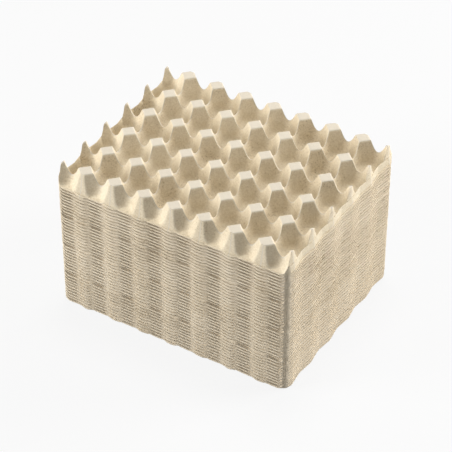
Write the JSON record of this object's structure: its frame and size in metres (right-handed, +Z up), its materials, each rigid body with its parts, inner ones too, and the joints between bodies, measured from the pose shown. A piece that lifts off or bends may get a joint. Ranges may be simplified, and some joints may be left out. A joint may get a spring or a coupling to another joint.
{
  "type": "stack of moulded pulp egg trays",
  "caption": "Stack of nested moulded pulp egg trays with flat-topped posts between round cups and a narrow rim.",
  "frame": {"origin": "on the floor, under the middle of the stack", "axes": "+X along the long side of the trays, +Y along the short side, +Z up"},
  "size_m": [0.3766, 0.3018, 0.2418],
  "materials": {
    "pulp": "matt, fibrous moulded pulp"
  },
  "bodies": {
    "root": {"tray_01": "pulp", "tray_02": "pulp", "tray_03": "pulp", "tray_04": "pulp", "tray_05": "pulp", "tray_06": "pulp", "tray_07": "pulp", "tray_08": "pulp", "tray_09": "pulp", "tray_10": "pulp", "tray_11": "pulp", "tray_12": "pulp", "tray_13": "pulp", "tray_14": "pulp", "tray_15": "pulp", "tray_16": "pulp", "tray_17": "pulp", "tray_18": "pulp", "tray_19": "pulp", "tray_20": "pulp", "tray_21": "pulp", "tray_22": "pulp", "tray_23": "pulp", "tray_24": "pulp", "tray_25": "pulp", "tray_26": "pulp", "tray_27": "pulp", "tray_28": "pulp", "tray_29": "pulp", "tray_30": "pulp", "tray_31": "pulp", "tray_32": "pulp", "tray_33": "pulp", "tray_34": "pulp", "tray_35": "pulp", "tray_36": "pulp", "tray_37": "pulp", "tray_38": "pulp", "tray_39": "pulp", "tray_40": "pulp"}
  },
  "joints": []
}
